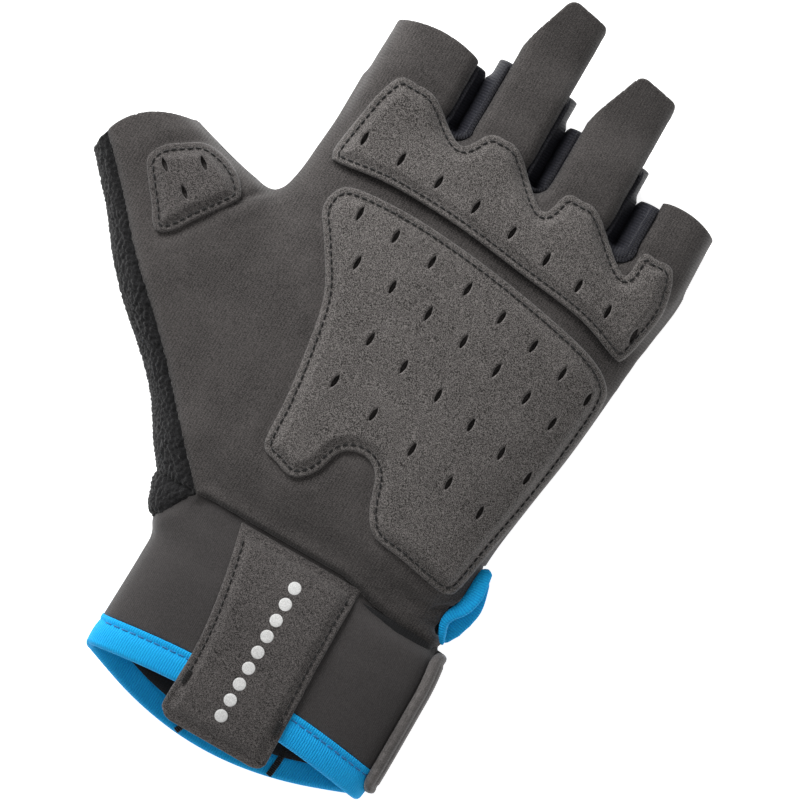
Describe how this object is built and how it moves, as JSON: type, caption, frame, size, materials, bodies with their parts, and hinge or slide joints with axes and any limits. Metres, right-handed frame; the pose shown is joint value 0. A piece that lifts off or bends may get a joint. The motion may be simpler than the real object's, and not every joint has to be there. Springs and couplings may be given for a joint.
{
  "type": "weightlifting glove",
  "caption": "Left-hand half-finger training glove with padded perforated palm, pull tongues and a wrist wrap, lying palm up.",
  "frame": {"origin": "on the flat underside that the glove lies on, under the middle of the palm", "axes": "+X to the little-finger side, +Y to the fingertips, +Z out of the palm"},
  "size_m": [0.1539, 0.2204, 0.0324],
  "materials": {
    "palm_fabric": "stretch jersey, charcoal, matt",
    "back_knit": "dark knit, matt",
    "terry": "terry loops, dark grey",
    "gusset_fabric": "shiny stretch fabric, near black",
    "suede": "speckled grey synthetic suede",
    "wrist_fabric": "elastic band, charcoal",
    "blue_binding": "ribbed blue binding tape",
    "strap_fabric": "brushed strap, grey"
  },
  "bodies": {
    "root": {"palm_panel": "palm_fabric", "back_panel": "back_knit", "thumb_back_panel": "terry", "gusset_index_middle": "gusset_fabric", "gusset_middle_ring": "gusset_fabric", "gusset_ring_little": "gusset_fabric", "upper_palm_pad": "suede", "main_palm_pad": "suede", "thumb_pad": "suede", "wrist_band": "wrist_fabric", "cuff_binding": "blue_binding", "pull_tab": "suede", "closure_strap": "strap_fabric", "vent_binding_palm": "blue_binding", "vent_binding_back": "blue_binding"}
  },
  "joints": []
}
